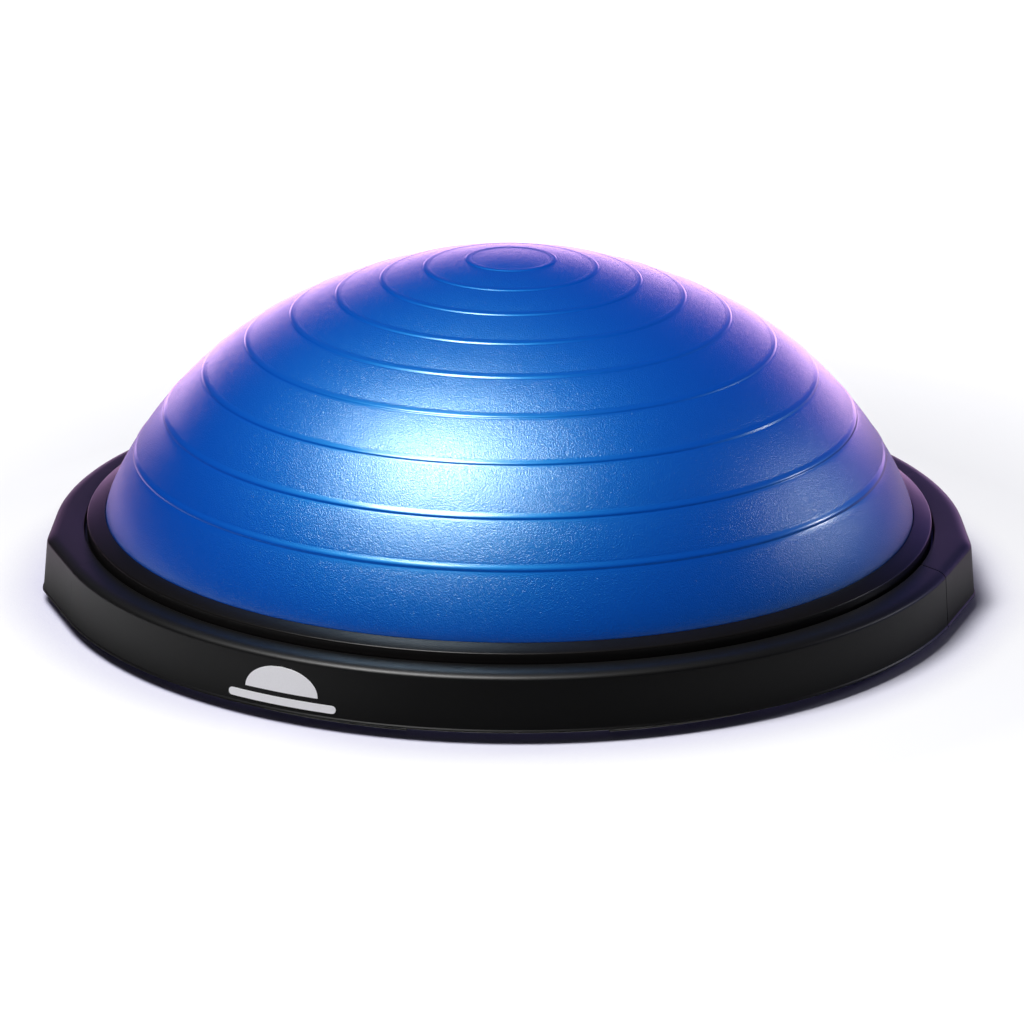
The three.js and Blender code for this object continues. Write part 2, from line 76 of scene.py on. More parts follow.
# Platform outline: a circle, with a straight end and a corner in front of each handle.
CORNER_X, CORNER_Y = 322 * MM, 50 * MM
SHOULDER_END_ANGLE = math.radians(21.4)
CORNER_SOFTNESS = 1 * MM

# Dome and ribs.
DOME_RADIUS = 280 * MM
DOME_START = 55.3 * MM           # where the dome's outline starts, level with the ring's top
DOME_SKIN = 3 * MM
DOME_POWER = 1 / 1.3             # 1/2 would be an ellipse; more makes the crown more pointed
SHOULDER_SAG = 0.036             # how far the outline swells and sags from that curve
FLANGE_TOP = DOME_FOOT + 3.5 * MM
RIB_RADII = [r * MM for r in (30.2, 59.1, 88.8, 119.3, 150.6, 181.7, 211.4, 238.6, 259.6)]
RIB_HALF_WIDTH = 1.6 * MM        # the side towards the foot
RIB_UPPER_WIDTH = 3.8 * MM       # the side towards the top, which is gentler
RIB_HEIGHT = 0.5 * MM
PANEL_BULGE = 0.15 * MM          # how full the panels between the ribs are

# Platform.
GROOVE_RADIUS = 294.8 * MM
SHELF_TOP = MEMBRANE_LOW.z - 0.3 * MM
SHELL_THICKNESS = 4 * MM
BEAD_STEP = 0.8 * MM             # bead along the wall's bottom edge
SEAM_INNER = Vector((279.7, 96)) * MM
SEAM_OUTER = Vector((297.5, 117)) * MM
SEAM_GAP = 1.0 * MM              # the seam at the right front, a little open
TIGHT_SEAM_GAP = 0.12 * MM       # the other three


# ------------------------------------------------------------------ mesh helpers

def mesh_object(name, points, faces):
    mesh = bpy.data.meshes.new(name)
    mesh.from_pydata([tuple(p) for p in points], [], faces)
    mesh.validate()
    thing = bpy.data.objects.new(name, mesh)
    bpy.context.scene.collection.objects.link(thing)
    outward(thing)
    return thing


def outward(thing):
    work = bmesh.new()
    work.from_mesh(thing.data)
    bmesh.ops.recalc_face_normals(work, faces=work.faces)
    work.to_mesh(thing.data)
    work.free()


def smooth(thing, degrees=35):
    """Rounds the shading, but keeps edges sharper than the given angle."""
    work = bmesh.new()
    work.from_mesh(thing.data)
    for face in work.faces:
        face.smooth = True
    for edge in work.edges:
        edge.smooth = edge.calc_face_angle(0) < math.radians(degrees)
    work.to_mesh(thing.data)
    work.free()


def apply_modifiers(thing):
    graph = bpy.context.evaluated_depsgraph_get()
    done = bpy.data.meshes.new_from_object(thing.evaluated_get(graph))
    thing.modifiers.clear()
    thing.data = done


def bevel(thing, width, segments=3, degrees=40):
    modifier = thing.modifiers.new("rounding", "BEVEL")
    modifier.width = width
    modifier.segments = segments
    modifier.limit_method = "ANGLE"
    modifier.angle_limit = math.radians(degrees)
    modifier.harden_normals = False
    apply_modifiers(thing)


def even_shading(thing):
    """Lets the large flat faces decide the shading along their rounded edges."""
    modifier = thing.modifiers.new("shading", "WEIGHTED_NORMAL")
    modifier.keep_sharp = True
    apply_modifiers(thing)


def boolean(thing, other, operation):
    modifier = thing.modifiers.new("cut", "BOOLEAN")
    modifier.operation = operation
    modifier.object = other
    modifier.solver = "EXACT"
    apply_modifiers(thing)


def discard(*things):
    for thing in things:
        bpy.data.objects.remove(thing)


def joined(name, things):
    work = bmesh.new()
    for thing in things:
        work.from_mesh(thing.data)
    mesh = bpy.data.meshes.new(name)
    work.to_mesh(mesh)
    work.free()
    discard(*things)
    whole = bpy.data.objects.new(name, mesh)
    bpy.context.scene.collection.objects.link(whole)
    return whole


def turned_copy(thing, name, angle):
    """A copy turned about the Z axis, with the turn in its mesh."""
    twin = bpy.data.objects.new(name, thing.data.copy())
    bpy.context.scene.collection.objects.link(twin)
    cos, sin = math.cos(angle), math.sin(angle)
    for vertex in twin.data.vertices:
        x, y, z = vertex.co
        vertex.co = (x * cos - y * sin, x * sin + y * cos, z)
    return twin


def swept(name, profile, angles, radius_at=None, full_turn=True):
    """Sweeps a profile of (radius or inset, height) points round the Z axis.

    With radius_at, a negative radius is an inset from the outline at that angle.
    A profile that starts and ends on the axis is left open there; any other is closed on itself.
    """
    on_axis = profile[0][0] == 0
    points, rows = [], []
    for angle in angles:
        row = []
        for reach, height in profile:
            radius = reach if reach >= 0 else radius_at(angle) + reach
            row.append(len(points))
            points.append((radius * math.cos(angle), radius * math.sin(angle), height))
        rows.append(row)
    if on_axis:
        for row in rows[1:]:
            row[0], row[-1] = rows[0][0], rows[0][-1]
    count = len(profile)
    spans = len(rows) if full_turn else len(rows) - 1
    faces = []
    for step in range(spans):
        here, there = rows[step], rows[(step + 1) % len(rows)]
        for low in range(count - 1 if on_axis else count):
            high = (low + 1) % count
            corners = [here[low], there[low], there[high], here[high]]
            faces.append(list(dict.fromkeys(corners)))
    if not full_turn:
        faces += [rows[0][::-1], rows[-1]]
    used = sorted({index for face in faces for index in face})
    renumber = {old: new for new, old in enumerate(used)}
    kept = [points[index] for index in used]
    return mesh_object(name, kept, [[renumber[index] for index in face] for face in faces])


def circle_angles(steps):
    return [TAU * step / steps for step in range(steps)]


def lathe(name, profile, steps=288):
    return swept(name, profile, circle_angles(steps))


def arc_points(centre, radius, start, end, steps):
    """Profile points round a circle, angles in degrees."""
    out = []
    for step in range(steps + 1):
        angle = math.radians(start + (end - start) * step / steps)
        out.append((centre[0] + radius * math.cos(angle), centre[1] + radius * math.sin(angle)))
    return out


def rounded_profile(corners, steps=4):
    """A closed profile with its corners rounded. Each corner is (radius, height, rounding)."""
    out = []
    count = len(corners)
    for i, (x, z, rounding) in enumerate(corners):
        here = Vector((x, z))
        before = Vector(corners[i - 1][:2]) - here
        after = Vector(corners[(i + 1) % count][:2]) - here
        if rounding == 0:
            out.append((x, z))
            continue
        start = here + before.normalized() * rounding
        end = here + after.normalized() * rounding
        for step in range(steps + 1):
            t = step / steps
            point = start * (1 - t) ** 2 + here * 2 * t * (1 - t) + end * t * t
            out.append((point.x, point.y))
    return out


def prism(name, outline, bottom, top):
    """A flat outline of (x, y) points raised from bottom to top."""
    count = len(outline)
    points = [(x, y, bottom) for x, y in outline] + [(x, y, top) for x, y in outline]
    faces = [list(range(count))[::-1], list(range(count, 2 * count))]
    for i in range(count):
        j = (i + 1) % count
        faces.append([i, j, count + j, count + i])
    return mesh_object(name, points, faces)


def rounded_rectangle(low, high, radius, steps=8):
    centres = [(high[0] - radius, high[1] - radius), (low[0] + radius, high[1] - radius),
               (low[0] + radius, low[1] + radius), (high[0] - radius, low[1] + radius)]
    outline = []
    for quarter, centre in enumerate(centres):
        outline += arc_points(centre, radius, 90 * quarter, 90 * quarter + 90, steps)
    return outline


# ------------------------------------------------------------------ node helpers

class Nodes:
    """A material's node tree, with short calls for the nodes this scene uses."""

    def __init__(self, name):
        self.material = bpy.data.materials.new(name)
        self.material.use_nodes = True
        self.tree = self.material.node_tree
        self.shader = self.tree.nodes["Principled BSDF"]
        self.place = self.add("ShaderNodeTexCoord").outputs["Object"]

    def add(self, kind, **settings):
        node = self.tree.nodes.new(kind)
        for key, value in settings.items():
            setattr(node, key, value)
        return node

    def wire(self, source, socket):
        if isinstance(source, bpy.types.NodeSocket):
            self.tree.links.new(source, socket)
        else:
            socket.default_value = source

    def noise(self, scale, detail=2, roughness=0.5):
        node = self.add("ShaderNodeTexNoise")
        self.wire(self.place, node.inputs["Vector"])
        node.inputs["Scale"].default_value = scale
        node.inputs["Detail"].default_value = detail
        node.inputs["Roughness"].default_value = roughness
        return node.outputs["Fac"]

    def cells(self, scale):
        node = self.add("ShaderNodeTexVoronoi", feature="SMOOTH_F1")
        self.wire(self.place, node.inputs["Vector"])
        node.inputs["Scale"].default_value = scale
        node.inputs["Smoothness"].default_value = 0.6
        return node.outputs["Distance"]

    def math(self, operation, a, b):
        node = self.add("ShaderNodeMath", operation=operation)
        for value, socket in zip((a, b), node.inputs):
            self.wire(value, socket)
        return node.outputs[0]

    def product(self, a, b):
        return self.math("MULTIPLY", a, b)

    def spread(self, value, low, high, from_low=0.0, from_high=1.0):
        """Goes from low to high while the value goes from from_low to from_high."""
        node = self.add("ShaderNodeMapRange")
        for number, socket in zip((value, from_low, from_high, low, high), node.inputs):
            self.wire(number, socket)
        return node.outputs[0]

    def colours(self, factor, first, second):
        """A mix of two colours, each of them three numbers or a socket."""
        node = self.add("ShaderNodeMix", data_type="RGBA")
        self.wire(factor, node.inputs["Factor"])
        for colour, socket in ((first, node.inputs["A"]), (second, node.inputs["B"])):
            self.wire((*colour, 1) if isinstance(colour, tuple) else colour, socket)
        return node.outputs["Result"]

    def bump(self, height, distance, strength=1.0, below=None):
        node = self.add("ShaderNodeBump")
        node.inputs["Strength"].default_value = strength
        node.inputs["Distance"].default_value = distance
        self.wire(height, node.inputs["Height"])
        if below is not None:
            self.wire(below, node.inputs["Normal"])
        return node.outputs["Normal"]

    def set(self, **inputs):
        for key, value in inputs.items():
            self.wire(value, self.shader.inputs[key.replace("_", " ")])


# ------------------------------------------------------------------ materials

def blue_pvc():
    """Soft PVC: a clear sheen over a broad blue one, and a fine pressed grain that stops at the ribs."""
    n = Nodes("blue_grained_pvc")
    drift = n.noise(5, detail=3)
    colour = n.colours(drift, (0.0002, 0.04, 0.36), (0.0002, 0.05, 0.41))
    rib = n.add("ShaderNodeAttribute", attribute_name="rib").outputs["Fac"]
    pebble = n.noise(1150, detail=1, roughness=0.5)
    fine = n.noise(2300, detail=1, roughness=0.6)
    grained = n.math("SUBTRACT", 1.0, n.product(rib, 0.9))
    grain = n.bump(n.product(pebble, grained), 0.3 * MM, 0.8)
    grain = n.bump(n.product(fine, grained), 0.07 * MM, 0.6, below=grain)
    sheen = n.math("SUBTRACT", 0.22, n.product(rib, 0.03))
    n.set(Base_Color=colour, Normal=grain, Coat_Normal=grain)
    n.set(Coat_Weight=1.0, Coat_Roughness=sheen, Coat_IOR=1.7)
    n.set(Roughness=0.46, IOR=1.82, Specular_IOR_Level=1.0, Specular_Tint=(0.01, 0.63, 1.0, 1.0))
    return n.material


def moulded_black(name, base, rough_low, rough_high, grain_depth, grain_scale=900, gloss=0.38):
    """Injection-moulded black plastic with a fine spark-eroded grain."""
    n = Nodes(name)
    drift = n.noise(14, detail=4)
    colour = n.colours(drift, tuple(c * 0.85 for c in base), tuple(c * 1.2 for c in base))
    grain = n.noise(grain_scale, detail=4, roughness=0.65)
    waves = n.noise(9, detail=1)
    normal = n.bump(waves, 0.6 * MM, 0.12)
    normal = n.bump(grain, grain_depth, 0.5, below=normal)
    n.set(Base_Color=colour, Normal=normal, Roughness=n.spread(drift, rough_low, rough_high),
          Specular_IOR_Level=gloss)
    return n.material


def black_rubber():
    n = Nodes("black_rubber")
    dust = n.noise(60, detail=5, roughness=0.7)
    colour = n.colours(dust, (0.012, 0.012, 0.013), (0.026, 0.026, 0.027))
    grain = n.bump(n.noise(1400, detail=3), 0.15 * MM, 0.7)
    n.set(Base_Color=colour, Normal=grain, Roughness=n.spread(dust, 0.7, 0.9))
    return n.material


def membrane_sheet():
    n = Nodes("membrane_sheet")
    n.set(Base_Color=n.colours(n.noise(30, detail=4), (0.01, 0.011, 0.014), (0.02, 0.021, 0.025)),
          Normal=n.bump(n.cells(600), 0.2 * MM, 0.5), Roughness=0.55)
    return n.material


def zinc_steel():
    n = Nodes("zinc_plated_steel")
    stain = n.noise(180, detail=4)
    n.set(Base_Color=n.colours(stain, (0.5, 0.51, 0.53), (0.66, 0.66, 0.66)),
          Normal=n.bump(n.noise(2500), 0.05 * MM, 0.4),
          Roughness=n.spread(stain, 0.24, 0.42), Metallic=1.0)
    return n.material


def pale_plug():
    n = Nodes("pale_polyethylene")
    stain = n.noise(90, detail=4)
    n.set(Base_Color=n.colours(stain, (0.74, 0.74, 0.72), (0.82, 0.82, 0.8)),
          Normal=n.bump(n.noise(1200), 0.08 * MM, 0.4),
          Roughness=n.spread(stain, 0.36, 0.48), Subsurface_Weight=0.15)
    return n.material


def mark_print():
    n = Nodes("grey_print")
    speckle = n.noise(900, detail=3)
    n.set(Base_Color=n.colours(speckle, (0.78, 0.78, 0.78), (0.86, 0.86, 0.86)),
          Normal=n.bump(speckle, 0.08 * MM, 0.3), Roughness=0.5)
    return n.material


# The studio floor's colours, most of them painted light: a lavender tint far off, painted reflections, a
# dimmed painted bounce, a painted contact shadow and a painted glow. Reaches are in metres from the
# object's middle.
# painted light: FLOOR_FAR turns the floor lavender far off, for the dome's rims to mirror
FLOOR_WHITE, FLOOR_FAR, FLOOR_FAR_REACH = (0.8, 0.8, 0.81), (0.82, 0.66, 0.88), (2.5, 6.0)
# painted reflection: the floor's dark colour in front, as the object mirrors it
FLOOR_MIRRORED_FRONT = (0.12, 0.12, 0.12)
FLOOR_MIRRORED_BEHIND = (1.0, 0.6, 1.0)      # painted reflection: gives the dome its lavender rims
# painted bounce light: the floor's colour in diffuse bounces, dim and violet
FLOOR_BOUNCE = (0.3, 0.29, 0.36)
# painted contact shadow: the floor's colour darkens to violet near the object
CONTACT_SHADE, CONTACT_REACH = (0.2, 0.18, 0.45), 0.05
# painted glow: the floor emits light, though it is no lamp
FLOOR_GLOW, FLOOR_GLOW_REACH = 1.35, (0.42, 1.4)
RIM_GAIN = 0.8                               # extra glow of the floor straight behind, in reflections


def mirrored_floor(n, seen, away, x, y, behind):
    """The floor's colour in reflections, a painted reflection: dark in front, black further off and right
    next to the wall, bright at the sides, lavender behind.
    """
    left = n.spread(x, 1.0, 0.0, -0.55, -0.1)
    right = n.spread(x, 0.0, 0.6, 0.1, 0.55)
    aside = n.math("MAXIMUM", n.math("ADD", left, right), behind)
    lit = n.colours(n.spread(y, 0.0, 1.0, 0.0, 0.25), seen, FLOOR_MIRRORED_BEHIND)
    lit = n.colours(aside, FLOOR_MIRRORED_FRONT, lit)
    clear_of_wall = n.spread(away, 0.0, 1.0, 0.33, 0.38)
    close = n.spread(away, 1.0, 0.03, 0.5, 0.9)
    return n.colours(n.product(clear_of_wall, n.math("MAXIMUM", close, behind)), (0.0, 0.0, 0.0), lit)


def pale_floor():
    """White where it is seen, with a painted contact shadow near the object and a painted glow; flagged off
    in its bounce and painted in its reflections; see-through from below.
    """
    n = Nodes("pale_floor")
    length = n.add("ShaderNodeVectorMath", operation="LENGTH")
    n.wire(n.place, length.inputs[0])
    away = length.outputs["Value"]
    split = n.add("ShaderNodeSeparateXYZ")
    n.wire(n.place, split.inputs[0])
    x, y = split.outputs["X"], split.outputs["Y"]
    path = n.add("ShaderNodeLightPath")
    bounced, mirrored = path.outputs["Is Diffuse Ray"], path.outputs["Is Glossy Ray"]

    sideways = n.math("DIVIDE", n.math("ABSOLUTE", x, 0.0), away)
    behind = n.product(n.spread(sideways, 1.0, 0.0, 0.42, 0.6), n.math("GREATER_THAN", y, 0.0))
    # painted light: white near the object, lavender far off
    seen = n.colours(n.spread(away, 0.0, 1.0, *FLOOR_FAR_REACH), FLOOR_WHITE, FLOOR_FAR)
    # painted contact shadow: ambient occlusion mixes the floor's colour towards CONTACT_SHADE
    contact = n.add("ShaderNodeAmbientOcclusion", samples=6)
    contact.inputs["Distance"].default_value = CONTACT_REACH
    shaded = n.colours(contact.outputs["AO"], CONTACT_SHADE, seen)
    # painted reflection: glossy rays see the floor's painted mirrored colour
    colour = n.colours(mirrored, shaded, mirrored_floor(n, seen, away, x, y, behind))
    # painted bounce light: diffuse rays see the dim violet FLOOR_BOUNCE
    colour = n.colours(bounced, colour, FLOOR_BOUNCE)
    # painted glow: the floor's emission rises with distance, and more behind in reflections
    glow = n.product(n.spread(away, 0.0, FLOOR_GLOW, *FLOOR_GLOW_REACH), n.math("SUBTRACT", 1.0, bounced))
    glow = n.product(glow, n.math("ADD", n.product(n.product(mirrored, behind), RIM_GAIN), 1.0))
    n.set(Base_Color=colour, Roughness=0.8, Emission_Color=colour, Emission_Strength=glow,
          Specular_IOR_Level=0.1)

    below = n.add("ShaderNodeNewGeometry").outputs["Backfacing"]
    clear = n.add("ShaderNodeBsdfTransparent")
    either = n.add("ShaderNodeMixShader")
    n.wire(n.math("MAXIMUM", below, path.outputs["Is Shadow Ray"]), either.inputs["Fac"])
    n.wire(n.shader.outputs["BSDF"], either.inputs[1])
    n.wire(clear.outputs["BSDF"], either.inputs[2])
    output = next(node for node in n.tree.nodes if node.type == "OUTPUT_MATERIAL")
    n.wire(either.outputs["Shader"], output.inputs["Surface"])
    return n.material


# ------------------------------------------------------------------ the dome

OUTLINE_STEPS = 4000        # points that the outline's arc length is measured with
RIB_ROWS = 24               # rows of points over each rib
PANEL_ROWS = 8              # rows between two ribs
FOOT_ROWS = 16              # rows from the last rib down to the ring
INSIDE_ROWS = 24


def dome_share(share):
    """Height of the dome's outline, as a share of its rise, at a share of its radius."""
    crown = np.maximum(0, 1 - share * share) ** DOME_POWER
    return crown - SHOULDER_SAG * share * np.sin(TAU * share)


def dome_curve(radius, rise):
    """Radius, height and arc length down a finely stepped dome outline from its top."""
    share = np.sin(np.linspace(0, math.pi / 2, OUTLINE_STEPS))
    across = radius * share
    up = DOME_START + rise * dome_share(share)
    steps = np.hypot(np.diff(across), np.diff(up))
    return across, up, np.concatenate([[0], np.cumsum(steps)])


def rib_lift(distance):
    """Height of a softly rounded rib at a distance down the dome from its middle."""
    width = np.where(distance < 0, RIB_UPPER_WIDTH, RIB_HALF_WIDTH)
    x = np.minimum(1, np.abs(distance) / width)
    return RIB_HEIGHT * (1 - x ** 2) ** 1.5


def dome_rows(arc, length):
    """Arc lengths to place rows of points at: close together on the ribs, wide between them."""
    rows = []
    previous = 0.0
    for centre in arc:
        start, end = centre - 1.3 * RIB_UPPER_WIDTH, centre + 2 * RIB_HALF_WIDTH
        rows += list(np.linspace(previous, start, PANEL_ROWS + 1)[:-1])
        rows += list(np.linspace(start, end, RIB_ROWS + 1)[:-1])
        previous = end
    return np.array(rows + list(np.linspace(previous, length, FOOT_ROWS)))


def dome_outside():
    """Profile points of the skin's outer face, pushed out by the ribs and the full panels."""
    across, up, arc = dome_curve(DOME_RADIUS, DOME_TOP - DOME_START)
    ribs = np.interp(RIB_RADII, across, arc)
    rows = dome_rows(ribs, arc[-1])
    radius, height = np.interp(rows, arc, across), np.interp(rows, arc, up)
    ahead, behind = np.clip(rows + MM, 0, arc[-1]), np.clip(rows - MM, 0, arc[-1])
    run = np.interp(ahead, arc, across) - np.interp(behind, arc, across)
    fall = np.interp(ahead, arc, up) - np.interp(behind, arc, up)
    size = np.hypot(run, fall)
    edges = np.concatenate([[0], ribs, [arc[-1]]])
    panel = np.clip(np.searchsorted(edges, rows, side="right") - 1, 0, len(edges) - 2)
    share = (rows - edges[panel]) / (edges[panel + 1] - edges[panel])
    lift = sum(rib_lift(rows - rib) for rib in ribs)
    lift += PANEL_BULGE * np.sin(math.pi * share) * (panel > 0) * (panel < len(edges) - 2)
    lift[0] = 0
    radius = radius - fall / size * lift
    height = height + run / size * lift
    return [(0.0, float(height[0]))] + [(float(r), float(h)) for r, h in zip(radius[1:], height[1:])]


def dome_inside():
    inner = DOME_RADIUS - DOME_SKIN
    shares = np.sin(np.linspace(math.pi / 2, 0, INSIDE_ROWS))
    heights = DOME_START + (DOME_TOP - DOME_START - DOME_SKIN) * dome_share(shares)
    points = [(float(inner * s), float(h)) for s, h in zip(shares, heights)]
    return points[:-1] + [(0.0, points[-1][1])]


def mark_ribs(dome):
    """Stores how close each point is to a rib, for the material."""
    place = np.array([v.co for v in dome.data.vertices])
    radius = np.hypot(place[:, 0], place[:, 1])
    distance = np.min([np.abs(radius - rib) for rib in RIB_RADII], axis=0)
    share = np.clip(1.6 - distance / RIB_HALF_WIDTH, 0, 1)
    stored = dome.data.attributes.new("rib", "FLOAT", "POINT")
    stored.data.foreach_set("value", share.astype(np.float32))


def build_dome():
    foot = [
        (DOME_RADIUS, (DOME_START + FLANGE_TOP) / 2),
        (DOME_RADIUS, FLANGE_TOP),
        (FLANGE_RADIUS, FLANGE_TOP),
        (FLANGE_RADIUS, DOME_FOOT),
        (DOME_RADIUS - DOME_SKIN, DOME_FOOT),
    ]
    dome = lathe("dome_skin", dome_outside() + foot + dome_inside(), steps=360)
    smooth(dome, 60)
    mark_ribs(dome)
    return dome


# ------------------------------------------------------------------ ring and platform

def build_ring():
    play = 0.3 * MM
    lip_top, collar_top = 52.1 * MM, 55.6 * MM
    inner, foot_inner = DOME_RADIUS + play, FLANGE_RADIUS + play
    ring = lathe("clamp_collar", rounded_profile([
        (foot_inner, RING_LOW.z, 0),
        (RING_RADIUS, RING_LOW.z, 0),
        (RING_RADIUS, lip_top, 1.1 * MM),
        (inner, collar_top, 0.8 * MM),
        (inner, FLANGE_TOP + play, 0),
        (foot_inner, FLANGE_TOP + play, 0),
    ]), steps=360)
    smooth(ring)
    return ring


SHOULDER_DROP = CORNER_X - PLATFORM_RADIUS * math.cos(SHOULDER_END_ANGLE)
SHOULDER_WIDTH = PLATFORM_RADIUS * math.sin(SHOULDER_END_ANGLE) - CORNER_Y
SHOULDER_TURN = math.atan2(SHOULDER_DROP, SHOULDER_WIDTH)
SHOULDER_DISTANCE = CORNER_X * math.cos(SHOULDER_TURN) + CORNER_Y * math.sin(SHOULDER_TURN)
CORNER_ANGLE = math.atan2(CORNER_Y, CORNER_X)
END_TURN = math.acos(PLATFORM_RADIUS / math.hypot(CORNER_X, CORNER_Y)) - CORNER_ANGLE


def outline(angle):
    """Distance from the centre to the platform's bottom edge at an angle from +X."""
    towards_front = math.atan2(-math.sin(angle), abs(math.cos(angle)))
    if towards_front > SHOULDER_END_ANGLE or towards_front < -END_TURN:
        return PLATFORM_RADIUS
    end = PLATFORM_RADIUS / math.cos(towards_front + END_TURN)
    shoulder = SHOULDER_DISTANCE / math.cos(towards_front - SHOULDER_TURN)
    spread = abs(end - shoulder) / CORNER_SOFTNESS
    return min(end, shoulder) - CORNER_SOFTNESS * math.log1p(math.exp(-spread))


# The bead along the wall's bottom edge: (inset, height above the wall's bottom).
BEAD_PROFILE = [(i * MM, h * MM) for i, h in ((0.9, 0), (0.3, 0.1), (0.02, 0.4), (0.1, 0.9), (0.35, 1.25))]
BEAD_TOP = WALL_BOTTOM + 1.9 * MM
WALL_LEAN, WALL_RISE = 3 * MM, 33 * MM
SHOULDER_RISE, SHOULDER_RUN = 4.2 * MM, 8.5 * MM
GROOVE_ROUNDING = 1.1 * MM
SHELF_INNER = 9.3 * MM


def wall_inset(height):
    """How far the wall leans in from the bead along its bottom edge, at a height."""
    return BEAD_STEP + WALL_LEAN * (height - WALL_BOTTOM - MM) / WALL_RISE


def upper_moulding():
    """Ring-shaped shell: wall, rounded shoulder, deck, groove and shelf."""
    lean = wall_inset(DECK_TOP - SHOULDER_RISE)
    shoulder = []
    for turn in [math.radians(angle) for angle in range(0, 91, 9)]:
        inset = lean + SHOULDER_RUN * (1 - math.cos(turn))
        shoulder.append((-inset, DECK_TOP - SHOULDER_RISE * (1 - math.sin(turn))))
    groove_edge = (GROOVE_RADIUS + GROOVE_ROUNDING, DECK_TOP - GROOVE_ROUNDING)
    under_shelf, under_deck = SHELF_TOP - SHELL_THICKNESS, DECK_TOP - SHELL_THICKNESS
    profile = [
        *((-inset, WALL_BOTTOM + height) for inset, height in BEAD_PROFILE),
        *((-wall_inset(height), height) for height in (BEAD_TOP, 20 * MM, 31 * MM)),
        *shoulder,
        *arc_points(groove_edge, GROOVE_ROUNDING, 90, 180, 5),
        (GROOVE_RADIUS, SHELF_TOP),
        (SHELF_INNER, SHELF_TOP),
        (SHELF_INNER, under_shelf),
        (GROOVE_RADIUS + SHELL_THICKNESS, under_shelf),
        (GROOVE_RADIUS + SHELL_THICKNESS, under_deck),
        (-7 * MM, under_deck),
        (-4 * MM, WALL_BOTTOM),
    ]
    return swept("platform_shell", profile, circle_angles(720), outline)


def end_block(side, front_shift, back_shift):
    """Everything outside the groove between the two seams of one end (side is 1 or -1)."""
    run = (SEAM_OUTER - SEAM_INNER).normalized()
    square = Vector((run.y, -run.x))
    near, far = -10 * MM, 90 * MM
    groove = GROOVE_RADIUS - 0.15 * MM - max(front_shift, back_shift)
    half_angle = 17.6

    def corner(along, shift):
        return SEAM_INNER + run * along - square * shift

    back = [corner(near, back_shift), corner(far, back_shift)]
    front = [corner(far, front_shift), corner(near, front_shift)]
    inner = arc_points((0, 0), groove, -half_angle, half_angle, 60)
    corners = [(p.x, p.y) for p in back] + [(p.x, -p.y) for p in front] + inner
    return prism("end_block", [(side * x, y) for x, y in corners], 0, 70 * MM)


def build_cap(shell, name, side, front_gap):
    """The end of the shell that lies inside the seams."""
    cap = bpy.data.objects.new(name, shell.data.copy())
    bpy.context.scene.collection.objects.link(cap)
    keeper = end_block(side, -front_gap / 2, -TIGHT_SEAM_GAP / 2)
    boolean(cap, keeper, "INTERSECT")
    discard(keeper)
    smooth(cap, 32)
    return cap


def build_platform():
    shell = upper_moulding()
    right = build_cap(shell, "end_cap_moulding_right", 1, SEAM_GAP)
    left = build_cap(shell, "end_cap_moulding_left", -1, TIGHT_SEAM_GAP)
    for side, gap in ((1, SEAM_GAP), (-1, TIGHT_SEAM_GAP)):
        cutter = end_block(side, gap / 2, TIGHT_SEAM_GAP / 2)
        boolean(shell, cutter, "DIFFERENCE")
        discard(cutter)
    smooth(shell, 32)
    return shell, right, left


# ------------------------------------------------------------------ underside

POCKET_NEAR, POCKET_FAR, POCKET_HALF = 262 * MM, 297 * MM, 55 * MM
POCKET_ROUNDING = 9 * MM
WELL_RADIUS = 30 * MM
PAD_ANGLES = (35, 68, 112, 145, 215, 248, 292, 325)
PAD_HALF_ANGLE = 9.5
PAD_INNER, PAD_OUTER = 284 * MM, 303 * MM
PAD_GROOVES = 290 * MM, 297 * MM
HOLLOW_RADII = [r * MM for r in (70, 110, 150, 190, 230)]
# The section of one ring-shaped hollow in the base plate: (across, up), in millimetres.
HOLLOW = ((-3, 0), (-2.2, 0.15), (-1.2, 0.6), (0, 0.8), (1.2, 0.6), (2.2, 0.15), (3, 0))
BASE_WALL = 3 * MM
PLATE_TOP = 9 * MM
WELL_ROUNDING = 1.5 * MM
SCREW_SINK_RADIUS, SCREW_SINK_DEPTH = 4.3 * MM, 2.2 * MM
SCREW_TURN = 0.7            # radians from one screw's cross to the next, as if driven by hand


def underside_profile():
    """The base plate's section: rounded rim, flat underside with ring-shaped hollows, valve well."""
    bottom = PLATE_LOW.z
    well_outer = WELL_RADIUS + BASE_WALL
    profile = [(-12.2 * MM, bottom), (-11.3 * MM, bottom + 0.4 * MM), (-11 * MM, bottom + 1.3 * MM)]
    profile += [(-11 * MM, PLATE_TOP), (well_outer, PLATE_TOP), (well_outer, PLATE_HIGH.z)]
    profile += [(WELL_RADIUS, PLATE_HIGH.z), (WELL_RADIUS, bottom + WELL_ROUNDING)]
    well_edge = (WELL_RADIUS + WELL_ROUNDING, bottom + WELL_ROUNDING)
    profile += arc_points(well_edge, WELL_ROUNDING, 180, 270, 4)[1:]
    for radius in HOLLOW_RADII:
        profile += [(radius + across * MM, bottom + up * MM) for across, up in HOLLOW]
    return profile


def pad_section():
    """Section of a foot pad: rounded block with two tread grooves in its face."""
    low, high = PAD_LOW.z, PAD_HIGH.z
    depth, half_mouth, half_floor = 1.2 * MM, 1.1 * MM, 0.6 * MM
    corners = [(PAD_INNER, high, 0), (PAD_INNER, low, 1.2 * MM)]
    for centre in PAD_GROOVES:
        corners += [(centre - half_mouth, low, 0), (centre - half_floor, low + depth, 0),
                    (centre + half_floor, low + depth, 0), (centre + half_mouth, low, 0)]
    return rounded_profile(corners + [(PAD_OUTER, low, 1.2 * MM), (PAD_OUTER, high, 0)])


def sector_angles(degrees, half, steps):
    return [math.radians(degrees - half + 2 * half * step / steps) for step in range(steps + 1)]


